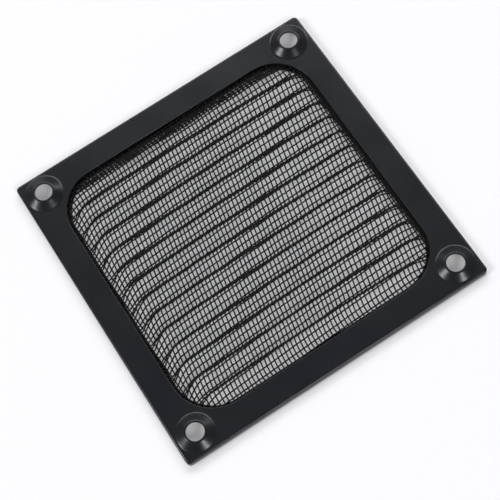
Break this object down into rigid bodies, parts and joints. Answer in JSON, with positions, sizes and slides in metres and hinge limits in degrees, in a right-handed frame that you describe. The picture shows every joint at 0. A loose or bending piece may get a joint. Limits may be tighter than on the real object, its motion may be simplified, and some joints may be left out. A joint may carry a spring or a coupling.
{
  "type": "fan dust filter",
  "caption": "Square sheet-metal fan filter with a pleated wire mesh, a folded flange and raised screw bosses at its corners.",
  "frame": {"origin": "middle of the underside, in the plane of the flange's lower edge", "axes": "+Z out of the face with the raised bosses; +X along the pleats; +Y across them, away from their long flanks"},
  "size_m": [0.0824, 0.0824, 0.0033],
  "materials": {
    "frame_sheet": "satin black coating on stamped aluminium sheet",
    "mesh_wire": "black coated woven wire"
  },
  "bodies": {
    "root": {"front_frame": "frame_sheet", "filter_mesh": "mesh_wire", "back_frame": "frame_sheet"}
  },
  "joints": []
}
